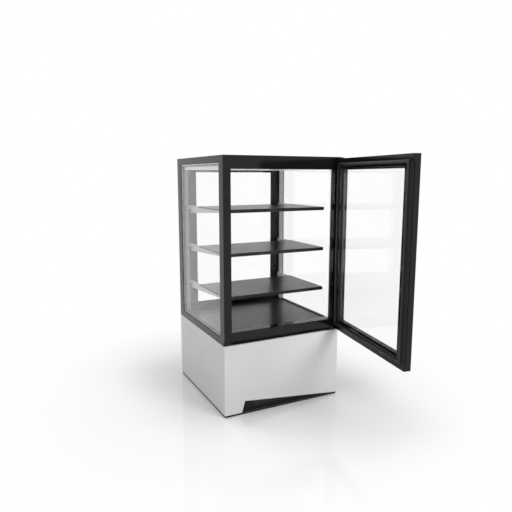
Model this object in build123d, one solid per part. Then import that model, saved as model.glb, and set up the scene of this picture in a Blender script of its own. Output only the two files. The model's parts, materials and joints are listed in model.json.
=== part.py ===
from build123d import *
import math
import os

# Refrigerated display case: a glass tower with a hinged front door on a white machine base.
# Frame: +X along the front to the right, +Y towards the back, +Z up, millimetres.
# Origin: the middle of the plinth's footprint, on the floor.
# The door is drawn closed and then turned to the angle it stands at in the reference view.

# Whole cabinet
cabinet_width = 700.0
cabinet_depth = 700.0
cabinet_height = 1350.0
base_height = 387.0
joint_clearance = 0.3

# Base frame: plinth ring, floor tray and corner angles
plinth_height = 12.0
plinth_bar_width = 40.0
plinth_inset = 3.0
tray_thickness = 2.0
angle_leg = 30.0
angle_thickness = 3.0

# White sheet panels
panel_thickness = 1.5
panel_flange = 20.0
panel_screw_radius = 2.0
panel_screw_head_radius = 4.5
panel_screw_head_height = 2.0
panel_screw_length = 5.5
panel_screw_rows = 3
panel_screw_sides = 6
panel_screw_margin = 30.0
screw_hole_clearance = 0.3

# Wedge-shaped air inlet at the foot of the front panel
inlet_left_margin = 98.0
inlet_left_slope = 17.0
inlet_height = 61.5
inlet_right_margin = 17.0
grille_setback = 16.0
grille_thickness = 1.2
grille_overlap = 14.0
mesh_pitch_x = 16.0
mesh_edge = 9.0
mesh_row_pitch = 8.0
mesh_first_offset = 12.0
mesh_diamond_width = 11.0
mesh_diamond_height = 7.0

# Louvres of the rear panel
louvre_count = 8
louvre_pitch = 24.0
louvre_width = 200.0
louvre_height = 9.0
louvre_depth = 6.0
louvre_column_offset = 150.0
louvre_first_z = 60.0

# Controls on the rear panel
control_drop = 62.0
thermostat_x = 60.0
thermostat_width = 76.0
thermostat_height = 34.0
thermostat_depth = 46.0
bezel_margin = 3.0
bezel_thickness = 4.0
button_size = 8.0
button_pitch = 13.0
button_proud = 1.2
button_travel = 1.0
button_length = 3.6
button_corner = 1.2
button_edge_offset = 9.75
display_width = 30.0
display_height = 14.0
display_recess = 0.6
power_switch_x = 150.0
light_switch_x = 190.0
switch_width = 22.0
switch_height = 28.0
switch_bezel_proud = 2.0
switch_bezel_corner = 1.5
switch_body_depth = 22.0
rocker_width = 14.0
rocker_radius = 10.0
rocker_axis_depth = 3.5
rocker_face_reach = 7.2
rocker_dip = 1.2
rocker_tilt = 8.0
power_inlet_x = 250.0
power_inlet_z = 45.0
power_inlet_width = 30.0
power_inlet_height = 22.0
power_inlet_depth = 22.0
power_inlet_wall = 2.5
power_inlet_cavity = 17.0
power_inlet_pin_length = 9.0
power_inlet_pin_width = 4.0
power_inlet_pin_thickness = 2.0
power_inlet_pin_pitch = 7.0
power_inlet_pin_drop = 1.5

# Insulated tub between the machine room and the display chamber
tub_depth_below = 87.0
tub_depth_above = 43.0
tub_lower_half = 280.0
tub_floor_thickness = 16.0
well_half = 240.0
deck_thickness = 6.0
deck_sheet = 1.5
deck_slot_count = 14
deck_slot_pitch = 38.0
deck_slot_length = 26.0
deck_slot_width = 6.0
deck_slot_margin = 24.0

# Black frame of the glass tower
front_post_width = 42.0
front_post_depth = 52.0
rear_post_width = 56.0
rear_post_depth = 64.0
rear_flange_width = 96.0
rear_flange_thickness = 3.0
post_wall = 3.0
recess_height = 21.0
recess_setback = 12.0
front_bottom_rail_height = 47.0
front_top_rail_height = 67.0
side_rail_width = 28.0
side_bottom_rail_height = 40.0
side_top_rail_height = 35.0
side_lip_extra = 14.0
rear_bottom_rail_height = 60.0
rear_bottom_flange_height = 88.0
rear_top_rail_height = 72.0

# Double glazing of the side and rear walls
pane_thickness = 3.0
pane_gap = 6.0
glass_inset = 2.0
glass_edge_cover = 10.0
glass_clearance = 0.2
spacer_width = 7.0
spacer_inset = 3.0

# Roof and lamp
roof_sheet = 1.5
lamp_height = 28.0
lamp_drop = 66.0
lamp_wall = 2.5
light_strip_width = 10.0
light_strip_depth = 14.0
light_strip_wall = 2.0

# Shelves, brackets and slotted standards
shelf_count = 3
slots_per_shelf = 6
slot_pitch = 38.0
top_shelf_drop = 272.0
shelf_overhang = 4.0
shelf_depth = 370.0
shelf_sheet = 1.5
shelf_edge_height = 8.0
shelf_lip_height = 18.0
shelf_front_setback = 94.0
standard_width = 40.0
standard_leg = 12.0
standard_wall = 1.5
standard_glass_gap = 6.0
standard_slot_width = 4.0
standard_slot_height = 20.0
standard_slot_offset = 16.0
bracket_inset = 18.0
bracket_thickness = 2.0
bracket_rear_height = 44.0
bracket_front_height = 14.0
bracket_tab_height = 18.0
bracket_tab_reach = 5.0

# Front door, hinged at the right
door_open_angle = 80.7
door_gap = 8.0
door_thickness = 36.0
door_free_inset = 2.0
door_hinge_inset = 6.0
door_bottom_rise = 18.0
door_top_drop = 9.0
door_free_stile_width = 70.0
door_hinge_stile_width = 58.0
door_rail_height = 57.0
door_bead_chamfer = 8.0
door_corner_radius = 3.0
door_pane_thickness = 4.0
door_pane_gap = 12.0
gasket_offset = 24.0
gasket_width = 16.0
gasket_bulb_width = 11.0
gasket_base = 2.5
gasket_height = 7.4
gasket_groove_width = 6.0
gasket_groove_depth = 3.0
pull_radius = 15.0
pull_standoff = 5.0
pull_offset = 8.0
pull_end_margin = 25.0
hinge_pivot_inset = 20.0
hinge_pin_radius = 5.0
hinge_pin_length = 20.0
hinge_pin_clearance = 0.05
bush_wall = 3.0
bush_flange = 0.7
bush_flange_radius = 10.0
hinge_plate_thickness = 4.0
hinge_plate_width = 28.0
hinge_leaf_height = 52.0
hinge_leaf_thickness = 2.5
hinge_plate_reach = 12.0
hinge_plate_corner = 9.0

# Compressor
compressor_side_margin = 160.0
compressor_back_margin = 240.0
compressor_radius = 75.0
compressor_height = 165.0
compressor_crown_height = 34.0
compressor_crown_inset = 17.0
compressor_belt_z = 91.0
compressor_belt_proud = 3.0
compressor_belt_height = 4.0
compressor_port_z = 66.0
compressor_foot_width = 190.0
compressor_foot_depth = 120.0
compressor_foot_thickness = 4.0
grommet_radius = 11.0
grommet_height = 14.0
grommet_spacing_x = 160.0
grommet_spacing_y = 90.0

# Condenser with its fan
condenser_width = 300.0
condenser_depth = 54.0
condenser_height = 236.0
condenser_setback = 50.0
condenser_fin_pitch = 12.0
condenser_fin_groove = 4.0
condenser_groove_depth = 6.0
tube_radius = 4.5
tube_rows = 6
shroud_thickness = 2.0
shroud_ring_depth = 26.0
condenser_fan_radius = 96.0
fan_tip_clearance = 5.0
condenser_motor_radius = 34.0
condenser_motor_length = 46.0
motor_bevel = 5.0
motor_arm_width = 10.0
motor_arm_thickness = 3.0
fan_hub_radius = 22.0
fan_hub_length = 22.0
fan_shaft_radius = 3.0
fan_shaft_length = 18.0
fan_shaft_clearance = 0.05
fan_blade_count = 5
fan_blade_pitch = 28.0
fan_blade_thickness = 1.5
fan_blade_chord_share = 0.62
fan_blade_root_share = 0.8
fan_gap = 4.0

# Evaporator and its two fans, in the well under the deck
evaporator_width = 400.0
evaporator_depth = 80.0
evaporator_height = 96.0
evaporator_front_y = 100.0
evaporator_fan_radius = 42.0
evaporator_fan_offset = 110.0
evaporator_motor_radius = 18.0
evaporator_motor_length = 28.0
evaporator_hub_radius = 13.0
evaporator_hub_length = 14.0
fan_plate_y = 60.0
fan_plate_height = 108.0

# Drip tray, electrical box and pipes
drip_tray_side_margin = 190.0
drip_tray_back_margin = 330.0
drip_tray_width = 240.0
drip_tray_depth = 220.0
drip_tray_height = 32.0
drip_tray_wall = 1.5
electrical_box_side_margin = 160.0
electrical_box_back_margin = 120.0
electrical_box_width = 180.0
electrical_box_depth = 100.0
electrical_box_height = 150.0
electrical_box_radius = 4.0
pipe_radius = 4.0
pipe_sides = 8
pipe_bend = 16.0
drier_radius = 12.0
drier_height = 110.0
drier_bevel = 7.0

# Planes shared by several pieces
left = -cabinet_width / 2
right = cabinet_width / 2
front = -cabinet_depth / 2
back = cabinet_depth / 2
tray_z = plinth_height + tray_thickness
tub_floor_z = base_height - tub_depth_below
tub_top_z = base_height + tub_depth_above
well_floor_z = tub_floor_z + tub_floor_thickness
control_height_z = base_height - control_drop
lamp_bottom_z = cabinet_height - lamp_drop
compressor_x = left + compressor_side_margin
compressor_y = back - compressor_back_margin
condenser_front_y = front + condenser_setback
drip_tray_x = right - drip_tray_side_margin
drip_tray_y = back - drip_tray_back_margin
electrical_box_x = right - electrical_box_side_margin
electrical_box_y = back - electrical_box_back_margin
panel_inner_x = right - panel_thickness
panel_inner_y = back - panel_thickness
rail_front_z = base_height + recess_height
rail_front_top_z = rail_front_z + front_bottom_rail_height
chamber_front = front + front_post_depth
chamber_back = back - rear_post_depth
chamber_half = right - side_rail_width
front_rail_half = right - front_post_width
rear_rail_half = right - rear_post_width
rear_flange_half = right - rear_flange_width
rear_flange_y = chamber_back - rear_flange_thickness
glass_unit = 2 * pane_thickness + pane_gap
glass_inner_x = right - glass_inset - glass_unit
glass_inner_y = back - glass_inset - glass_unit
side_bottom_top_z = base_height + side_bottom_rail_height
side_top_bottom_z = cabinet_height - side_top_rail_height
side_lip_top_z = side_bottom_top_z + side_lip_extra
side_lip_bottom_z = side_top_bottom_z - side_lip_extra
rear_bottom_top_z = base_height + rear_bottom_rail_height
rear_bottom_flange_z = base_height + rear_bottom_flange_height
rear_top_bottom_z = cabinet_height - rear_top_rail_height
front_top_bottom_z = cabinet_height - front_top_rail_height
deck_top_z = tub_top_z + deck_thickness
shelf_spacing = slots_per_shelf * slot_pitch
shelf_front = front + shelf_front_setback
top_shelf_z = cabinet_height - top_shelf_drop
standard_outer_x = glass_inner_x - standard_glass_gap
standard_inner_x = standard_outer_x - standard_leg
standard_front = rear_flange_y - standard_width
slot_y = rear_flange_y - standard_slot_offset
bracket_outer_x = standard_inner_x - bracket_inset
shelf_half = bracket_outer_x + shelf_overhang
door_bottom_z = base_height + door_bottom_rise
door_top_z = cabinet_height - door_top_drop
door_outer_y = front - door_gap - door_thickness
door_inner_y = front - door_gap
door_free_x = left + door_free_inset
door_hinge_x = right - door_hinge_inset
pivot_x = right - hinge_pivot_inset
pivot_y = (door_outer_y + door_inner_y) / 2


def block(x0, x1, y0, y1, z0, z1):
    """A box between two corners."""
    size = Box(x1 - x0, y1 - y0, z1 - z0)
    return Pos((x0 + x1) / 2, (y0 + y1) / 2, (z0 + z1) / 2) * size


def mirrored(shape):
    """The same piece on the other side of the cabinet."""
    return gathered([solid.mirror(Plane.YZ) for solid in shape.solids()])


def gathered(solids):
    """One solid as it is, or several solids as a group."""
    return solids[0] if len(solids) == 1 else Compound(children=solids)


def rod(x, y, z, radius, length, direction):
    """A round bar that starts at a point and runs along a direction."""
    plane = Plane(origin=(x, y, z), z_dir=direction)
    return plane * Cylinder(radius, length, align=(Align.CENTER, Align.CENTER, Align.MIN))


def base_frame():
    """Welded base: plinth ring on the floor, floor tray and four corner angles under the tower."""
    x = right - plinth_inset
    y = back - plinth_inset
    bar = plinth_bar_width
    ring = block(-x, x, -y, y, 0, plinth_height)
    ring -= block(-x + bar, x - bar, -y + bar, y - bar, 0, plinth_height)
    tray = block(-x, x, -y, y, plinth_height, tray_z)
    body = ring + tray
    top = base_height - panel_thickness
    for sx in (-1, 1):
        for sy in (-1, 1):
            ox = sx * panel_inner_x
            oy = sy * panel_inner_y
            for leg_x, leg_y in ((angle_leg, angle_thickness), (angle_thickness, angle_leg)):
                span_x = sorted((ox, ox - sx * leg_x))
                span_y = sorted((oy, oy - sy * leg_y))
                body += block(*span_x, *span_y, tray_z, top)
    holes = screw_bars(panel_screw_radius + screw_hole_clearance, back - 4 * angle_thickness, back)
    return body - holes


def screw_places():
    """Where the rear panel's screws sit, as x and z."""
    low = plinth_height + panel_screw_margin
    high = base_height - panel_screw_margin
    step = (high - low) / (panel_screw_rows - 1)
    x = panel_inner_x - angle_leg / 2
    return [(sx * x, low + row * step) for sx in (-1, 1) for row in range(panel_screw_rows)]


def screw_bars(radius, y0, y1):
    """Round bars through every screw place of the rear panel."""
    bars = [rod(x, y0, z, radius, y1 - y0, (0, 1, 0)) for x, z in screw_places()]
    return bars[0].fuse(*bars[1:])


def panel_screws():
    """Hexagon-head screws of the rear panel."""
    screws = []
    for x, z in screw_places():
        plane = Plane(origin=(x, back, z), z_dir=(0, 1, 0))
        head = extrude(plane * RegularPolygon(panel_screw_head_radius, panel_screw_sides),
                       amount=panel_screw_head_height)
        shank = rod(x, back, z, panel_screw_radius, panel_screw_length, (0, -1, 0))
        screws.append(head + shank)
    return Compound(children=screws)


def inlet_outline(y):
    """The wedge of the air inlet as a face on the plane y, leaning left edge and top falling to the right."""
    x0 = left + inlet_left_margin
    x1 = right - inlet_right_margin
    corners = [
        (x0, plinth_height),
        (x0 + inlet_left_slope, plinth_height + inlet_height),
        (x1, plinth_height),
    ]
    line = Polyline([(x, y, z) for x, z in corners], close=True)
    return make_face(line)


def front_panel():
    """White front sheet with a folded top flange and the wedge inlet at its foot."""
    face = block(left, right, front, front + panel_thickness, plinth_height, base_height)
    inner = front + panel_thickness
    x = panel_inner_x
    flange = block(-x, x, inner, inner + panel_flange, base_height - panel_thickness, base_height)
    cutter = extrude(inlet_outline(front - 1), amount=panel_thickness + 2, dir=(0, 1, 0))
    return face + flange - cutter


def inlet_top_z(x):
    """Height of the inlet's falling top edge at a place along the front."""
    x0 = left + inlet_left_margin + inlet_left_slope
    x1 = right - inlet_right_margin
    return plinth_height + inlet_height * (x1 - x) / (x1 - x0)


def vent_grille():
    """Black sheet behind the inlet, perforated with staggered diamonds inside the wedge."""
    y = front + panel_thickness + grille_setback
    x0 = left + inlet_left_margin - grille_overlap
    x1 = right - panel_thickness - angle_leg
    top = plinth_height + inlet_height + grille_overlap
    sheet = block(x0, x1, y, y + grille_thickness, tray_z, top)
    foot = block(x0, x1, y, y + grille_overlap, tray_z, tray_z + grille_thickness)
    diamonds = []
    row = 0
    z = tray_z + mesh_edge
    while z < top - mesh_edge:
        x = left + inlet_left_margin + mesh_first_offset + (0 if row % 2 else mesh_pitch_x / 2)
        while x < x1 - mesh_pitch_x and inlet_top_z(x) > z:
            w = mesh_diamond_width / 2
            h = mesh_diamond_height / 2
            line = Polyline([(x - w, y, z), (x, y, z + h), (x + w, y, z), (x, y, z - h)], close=True)
            diamonds.append(extrude(make_face(line), amount=grille_thickness, dir=(0, 1, 0)))
            x += mesh_pitch_x
        z += mesh_row_pitch
        row += 1
    return sheet.cut(*diamonds) + foot


def side_panel():
    """White right-hand side sheet with its folded top flange."""
    y = panel_inner_y
    top = base_height - panel_thickness
    face = block(panel_inner_x, right, -y, y, plinth_height, base_height)
    y_flange = y - panel_flange
    flange = block(panel_inner_x - panel_flange, panel_inner_x, -y_flange, y_flange, top, base_height)
    return face + flange


def louvre(x, z):
    """The hood of one louvre and the slot under it, as the outer and inner wedges."""
    half = louvre_width / 2
    t = panel_thickness
    outer = [(back, z), (back + louvre_depth, z), (back, z + louvre_height + louvre_depth)]
    inner = [
        (panel_inner_y, z),
        (back + louvre_depth - t, z),
        (back - t, z + louvre_height + louvre_depth - 2 * t),
    ]
    hood = extrude(make_face(Polyline([(x - half, y, h) for y, h in outer], close=True)),
                   amount=louvre_width, dir=(1, 0, 0))
    slot = extrude(make_face(Polyline([(x - half + t, y, h) for y, h in inner], close=True)),
                   amount=louvre_width - 2 * t, dir=(1, 0, 0))
    return hood, slot


def rear_panel():
    """White rear sheet with two columns of pressed louvres and cut-outs for the controls."""
    y = panel_inner_y
    top = base_height - panel_thickness
    body = block(left, right, y, back, plinth_height, base_height)
    body += block(-panel_inner_x, panel_inner_x, y - panel_flange, y, top, base_height)
    hoods = []
    slots = []
    for column in (-1, 1):
        for row in range(louvre_count):
            hood, slot = louvre(column * louvre_column_offset, louvre_first_z + row * louvre_pitch)
            hoods.append(hood)
            slots.append(slot)
    body = body.fuse(*hoods).cut(*slots)
    body -= block(*around(thermostat_x, thermostat_width), y, back,
                  *around(control_height_z, thermostat_height))
    for x in (power_switch_x, light_switch_x):
        body -= block(*around(x, switch_width - 2 * bezel_margin), y, back,
                      *around(control_height_z, switch_height - 2 * bezel_margin))
    body -= block(*around(power_inlet_x, power_inlet_width - 2 * power_inlet_wall), y, back,
                  *around(power_inlet_z, power_inlet_height - 2 * power_inlet_wall))
    holes = screw_bars(panel_screw_radius + screw_hole_clearance, y - 1, back + 1)
    return body - holes


def around(centre, size):
    """The two ends of a span of a given size about its centre."""
    return centre - size / 2, centre + size / 2


def button_places():
    """Centres of the three keys of the thermostat along x."""
    first = thermostat_x - thermostat_width / 2 + button_edge_offset
    return [first + i * button_pitch for i in range(3)]


def thermostat():
    """Digital thermostat: body through the rear panel, bezel outside, window and key wells."""
    body = block(*around(thermostat_x, thermostat_width), back - thermostat_depth, back,
                 *around(control_height_z, thermostat_height))
    bezel = block(*around(thermostat_x, thermostat_width + 2 * bezel_margin), back, back + bezel_thickness,
                  *around(control_height_z, thermostat_height + 2 * bezel_margin))
    bezel = fillet(bezel.edges().filter_by(Axis.Y), bezel_margin)
    face_y = back + bezel_thickness
    well = button_size + 2 * joint_clearance
    depth = button_length - button_proud + button_travel + joint_clearance
    unit = body + bezel
    for x in button_places():
        unit -= block(*around(x, well), face_y - depth, face_y, *around(control_height_z, well))
    window_x = thermostat_x + thermostat_width / 2 - display_width / 2 - bezel_margin
    unit -= block(*around(window_x, display_width), face_y - display_recess, face_y,
                  *around(control_height_z, display_height))
    return unit


def thermostat_button(x):
    """One key of the thermostat, standing proud of the bezel."""
    outer = back + bezel_thickness + button_proud
    key = block(*around(x, button_size), outer - button_length, outer, *around(control_height_z, button_size))
    return fillet(key.edges().filter_by(Axis.Y), button_corner)


def rocker_axis_y():
    """Depth of the rockers' pivot line."""
    return back - rocker_axis_depth


def switch_housing(x):
    """Housing of a rocker switch: bezel outside the panel, body inside, open in front for the rocker."""
    bezel = block(*around(x, switch_width), back, back + switch_bezel_proud,
                  *around(control_height_z, switch_height))
    bezel = fillet(bezel.edges().filter_by(Axis.Y), switch_bezel_corner)
    inner_w = switch_width - 2 * bezel_margin
    inner_h = switch_height - 2 * bezel_margin
    body = block(*around(x, inner_w), back - switch_body_depth, back, *around(control_height_z, inner_h))
    unit = bezel + body
    half = rocker_width / 2 + joint_clearance
    swing = rocker_radius + joint_clearance
    unit -= rod(x - half, rocker_axis_y(), control_height_z, swing, 2 * half, (1, 0, 0))
    return unit


def rocker(x):
    """A rocker: a round-ended key that turns about its own axis, tilted to its on position."""
    y = rocker_axis_y()
    drum = rod(x - rocker_width / 2, y, control_height_z, rocker_radius, rocker_width, (1, 0, 0))
    reach = rocker_radius * 2
    face = y + rocker_face_reach
    root = y - rocker_axis_depth
    outline = [
        (root, control_height_z - reach),
        (face + rocker_dip, control_height_z - reach),
        (face - rocker_dip, control_height_z),
        (face + rocker_dip, control_height_z + reach),
        (root, control_height_z + reach),
    ]
    line = Polyline([(x - rocker_width / 2, py, pz) for py, pz in outline], close=True)
    slab = extrude(make_face(line), amount=rocker_width, dir=(1, 0, 0))
    key = drum & slab
    return key.rotate(Axis((x, y, control_height_z), (1, 0, 0)), rocker_tilt)


def power_inlet():
    """Mains inlet: a moulded shell flush in the rear panel with three blades in its cavity."""
    w = power_inlet_wall
    flange = block(*around(power_inlet_x, power_inlet_width), back, back + w,
                   *around(power_inlet_z, power_inlet_height))
    flange = fillet(flange.edges().filter_by(Axis.Y), w)
    body = block(*around(power_inlet_x, power_inlet_width - 2 * w), back - power_inlet_depth, back,
                 *around(power_inlet_z, power_inlet_height - 2 * w))
    cavity = block(*around(power_inlet_x, power_inlet_width - 4 * w), back + w - power_inlet_cavity, back + w,
                   *around(power_inlet_z, power_inlet_height - 4 * w))
    unit = flange + body - cavity
    root = back + w - power_inlet_cavity
    drop = power_inlet_pin_drop
    places = [(-power_inlet_pin_pitch, -drop), (0.0, drop), (power_inlet_pin_pitch, -drop)]
    for dx, dz in places:
        unit += block(*around(power_inlet_x + dx, power_inlet_pin_thickness),
                      root, root + power_inlet_pin_length,
                      *around(power_inlet_z + dz, power_inlet_pin_width))
    return unit


def electrical_box():
    """Closed box for the terminals and the relay, standing on the tray."""
    body = block(*around(electrical_box_x, electrical_box_width),
                 *around(electrical_box_y, electrical_box_depth),
                 tray_z, tray_z + electrical_box_height)
    return fillet(body.edges().filter_by(Axis.Z), electrical_box_radius)


def compressor():
    """Hermetic compressor: shell with a bevelled crown and its welded belt, on a pressed foot plate."""
    z0 = tray_z + grommet_height
    foot = block(*around(compressor_x, compressor_foot_width), *around(compressor_y, compressor_foot_depth),
                 z0, z0 + compressor_foot_thickness)
    foot = fillet(foot.edges().filter_by(Axis.Z), grommet_radius)
    z1 = z0 + compressor_foot_thickness
    r = compressor_radius
    shell = Pos(0, 0, z1) * Cylinder(r, compressor_height, align=(Align.CENTER, Align.CENTER, Align.MIN))
    rim = shell.edges().filter_by(GeomType.CIRCLE).sort_by(Axis.Z)[-1:]
    shell = chamfer(rim, compressor_crown_inset, compressor_crown_height)
    belt = Pos(0, 0, z1 + compressor_belt_z) * Cylinder(r + compressor_belt_proud, compressor_belt_height)
    return foot + Pos(compressor_x, compressor_y, 0) * (shell + belt)


def compressor_grommets():
    """Four rubber mounts under the compressor's foot plate."""
    pads = []
    for sx in (-1, 1):
        for sy in (-1, 1):
            x = compressor_x + sx * grommet_spacing_x / 2
            y = compressor_y + sy * grommet_spacing_y / 2
            pads.append(rod(x, y, tray_z, grommet_radius, grommet_height, (0, 0, 1)))
    return Compound(children=pads)


def finned_coil(x0, x1, y0, y1, z0, z1, pitch, groove, depth, rows):
    """A finned heat exchanger: grooved core between end plates, with return bends at both ends."""
    core = block(x0, x1, y0, y1, z0, z1)
    count = int((x1 - x0 - groove) / pitch)
    first = (x0 + x1) / 2 - (count - 1) * pitch / 2
    cuts = []
    for i in range(count):
        x = first + i * pitch
        cuts.append(block(*around(x, groove), y0, y0 + depth, z0, z1))
        cuts.append(block(*around(x, groove), y1 - depth, y1, z0, z1))
    body = core.cut(*cuts)
    step = (z1 - z0) / (rows + 1)
    bend = step / 2
    y = (y0 + y1) / 2
    for row in range(1, rows):
        side = 1 if row % 2 else -1
        x = x1 if row % 2 else x0
        start = z0 + step * row
        tube = Plane(origin=(x, y, start), z_dir=(side, 0, 0)) * RegularPolygon(tube_radius, pipe_sides)
        body += revolve(tube, Axis((x, y, start + bend), (0, -side, 0)), 180)
    return body


def condenser_coil():
    """Condenser behind the air inlet, standing on the tray."""
    return finned_coil(-condenser_width / 2, condenser_width / 2, condenser_front_y,
                       condenser_front_y + condenser_depth, tray_z, tray_z + condenser_height,
                       condenser_fin_pitch, condenser_fin_groove, condenser_groove_depth, tube_rows)


def condenser_back_y():
    """Rear face of the condenser, where its shroud seats."""
    return condenser_front_y + condenser_depth


def fan_centre_z():
    """Height of the condenser fan's axis."""
    return tray_z + condenser_height / 2


def condenser_shroud():
    """Sheet shroud on the condenser's rear face, with a round ring for the fan and arms for the motor."""
    y = condenser_back_y()
    half = condenser_width / 2
    z = fan_centre_z()
    plate = block(-half, half, y, y + shroud_thickness, tray_z, tray_z + condenser_height)
    opening = condenser_fan_radius + fan_tip_clearance
    ring = rod(0, y, z, opening + shroud_thickness, shroud_ring_depth, (0, 1, 0))
    body = plate + ring - rod(0, y, z, opening, shroud_ring_depth, (0, 1, 0))
    arm_y = y + shroud_ring_depth
    reach = opening + shroud_thickness
    arms = block(-reach, reach, arm_y - motor_arm_thickness, arm_y, *around(z, motor_arm_width))
    arms += block(*around(0, motor_arm_width), arm_y - motor_arm_thickness, arm_y, z - reach, z + reach)
    return body + arms - rod(0, y, z, fan_shaft_radius * 2, shroud_ring_depth, (0, 1, 0))


def motor(x, y, z, radius, length):
    """A fan motor behind its arms, with a blind bore for the fan's shaft."""
    can = rod(x, y, z, radius, length, (0, 1, 0))
    can = chamfer(can.edges().filter_by(GeomType.CIRCLE).sort_by(Axis.Y)[-1:], motor_bevel)
    return can - rod(x, y, z, fan_shaft_radius + fan_shaft_clearance, fan_shaft_length, (0, 1, 0))


def fan(x, y_arm, z, tip_radius, hub_radius, hub_length, arm_thickness):
    """A fan in front of its arms: hub, pitched blades and the shaft that runs in the motor."""
    back_y = y_arm - arm_thickness - fan_gap
    hub = rod(x, back_y - hub_length, z, hub_radius, hub_length, (0, 1, 0))
    shaft_end = y_arm + fan_shaft_length - joint_clearance
    shaft = rod(x, back_y, z, fan_shaft_radius, shaft_end - back_y, (0, 1, 0))
    root = hub_radius * fan_blade_root_share
    span = tip_radius - root
    chord = tip_radius * fan_blade_chord_share
    middle = back_y - hub_length / 2
    limit = rod(x, middle - hub_length / 2, z, tip_radius, hub_length, (0, 1, 0))
    wheel = hub + shaft
    for i in range(fan_blade_count):
        blade = Box(chord, fan_blade_thickness, span, align=(Align.CENTER, Align.CENTER, Align.MIN))
        blade = Pos(0, 0, root) * Rot(0, 0, fan_blade_pitch) * blade
        blade = Pos(x, middle, z) * Rot(0, i * 360 / fan_blade_count, 0) * blade
        wheel += blade & limit
    return wheel


def condenser_arm_y():
    """Rear face of the condenser motor's arms."""
    return condenser_back_y() + shroud_ring_depth


def evaporator_coil():
    """Evaporator on the floor of the well."""
    return finned_coil(-evaporator_width / 2, evaporator_width / 2, evaporator_front_y,
                       evaporator_front_y + evaporator_depth, well_floor_z, well_floor_z + evaporator_height,
                       condenser_fin_pitch, condenser_fin_groove, condenser_groove_depth, tube_rows - 2)


def evaporator_fan_z():
    """Height of the evaporator fans' axes."""
    return well_floor_z + fan_plate_height / 2


def evaporator_fan_plate():
    """Upright plate across the well with two round openings, motor arms and the two motors behind them."""
    y = fan_plate_y
    z = evaporator_fan_z()
    plate = block(-well_half, well_half, y, y + shroud_thickness,
                  well_floor_z, well_floor_z + fan_plate_height)
    opening = evaporator_fan_radius + fan_tip_clearance
    motors = []
    for x in (-evaporator_fan_offset, evaporator_fan_offset):
        plate -= rod(x, y, z, opening, shroud_thickness, (0, 1, 0))
        arms = block(*around(x, 2 * opening + motor_arm_width), y + shroud_thickness,
                     y + shroud_thickness + motor_arm_thickness, *around(z, motor_arm_width))
        plate += arms - rod(x, y, z, fan_shaft_radius * 2, shroud_thickness + motor_arm_thickness, (0, 1, 0))
        motors.append(motor(x, evaporator_arm_y(), z, evaporator_motor_radius, evaporator_motor_length))
    return Compound(children=[plate] + motors)


def evaporator_arm_y():
    """Rear face of the evaporator motors' arms."""
    return fan_plate_y + shroud_thickness + motor_arm_thickness


def drip_tray():
    """Shallow open pan on the tray that catches the defrost water."""
    x = around(drip_tray_x, drip_tray_width)
    y = around(drip_tray_y, drip_tray_depth)
    w = drip_tray_wall
    pan = block(*x, *y, tray_z, tray_z + drip_tray_height)
    pan = fillet(pan.edges().filter_by(Axis.Z), 8 * w)
    hollow = block(x[0] + w, x[1] - w, y[0] + w, y[1] - w, tray_z + w, tray_z + drip_tray_height)
    return pan - fillet(hollow.edges().filter_by(Axis.Z), 7 * w)


def pipe(points):
    """A bent copper pipe through a list of corners."""
    path = FilletPolyline(points, radius=pipe_bend)
    plane = Plane(origin=points[0], z_dir=Vector(*points[1]) - Vector(*points[0]))
    return sweep(plane * RegularPolygon(pipe_radius, pipe_sides), path=path)


def refrigerant_pipes():
    """Discharge, liquid and suction lines, and the filter drier in the liquid line."""
    end_x = -condenser_width / 2
    y = (condenser_front_y + condenser_back_y()) / 2
    step = condenser_height / (tube_rows + 1)
    high = tray_z + step * tube_rows
    low = tray_z + step
    shell_z = tray_z + grommet_height + compressor_foot_thickness
    side_z = shell_z + compressor_port_z
    front_y = compressor_y - compressor_radius
    gap_y = condenser_back_y() + shroud_ring_depth + 60
    discharge = pipe([
        (compressor_x, front_y, side_z),
        (compressor_x, gap_y, side_z),
        (compressor_x, gap_y, high),
        (compressor_x, y, high),
        (end_x, y, high),
    ])
    drier_x = compressor_x - compressor_radius
    drier_z = low + 40
    liquid_in = pipe([
        (end_x, y, low),
        (drier_x, y, low),
        (drier_x, gap_y, low),
        (drier_x, gap_y, drier_z),
    ])
    liquid_out = rod(drier_x, gap_y, drier_z + drier_height, pipe_radius,
                     tub_floor_z - drier_z - drier_height, (0, 0, 1))
    can = rod(drier_x, gap_y, drier_z, drier_radius, drier_height, (0, 0, 1))
    can = chamfer(can.edges().filter_by(GeomType.CIRCLE), drier_bevel)
    suction_x = compressor_x + compressor_radius
    suction = pipe([
        (suction_x, compressor_y, side_z),
        (suction_x + 3 * pipe_bend, compressor_y, side_z),
        (suction_x + 3 * pipe_bend, compressor_y, tub_floor_z),
    ])
    return Compound(children=[discharge, liquid_in, liquid_out, can, suction])


def insulated_tub():
    """Foam-filled tub that closes the chamber's floor, with a well for the evaporator."""
    upper = block(-chamber_half, chamber_half, chamber_front, chamber_back, base_height, tub_top_z)
    h = tub_lower_half
    lower = block(-h, h, -h, min(h, chamber_back), tub_floor_z, base_height)
    well = block(-well_half, well_half, -well_half, well_half, well_floor_z, tub_top_z)
    return upper + lower - well


def deck_slot(x, y):
    """One air slot of the deck."""
    return block(*around(x, deck_slot_length), *around(y, deck_slot_width), tub_top_z, deck_top_z)


def deck_tray():
    """Dark deck sheet over the tub with turned-down edges and a row of air slots at front and back."""
    body = block(-chamber_half, chamber_half, chamber_front, chamber_back, tub_top_z, deck_top_z)
    s = deck_sheet
    body -= block(-chamber_half + s, chamber_half - s, chamber_front + s, chamber_back - s,
                  tub_top_z, deck_top_z - s)
    slots = []
    for y in (chamber_front + deck_slot_margin, chamber_back - 2 * deck_slot_margin):
        for i in range(deck_slot_count):
            slots.append(deck_slot((i - (deck_slot_count - 1) / 2) * deck_slot_pitch, y))
    return body.cut(*slots)


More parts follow.
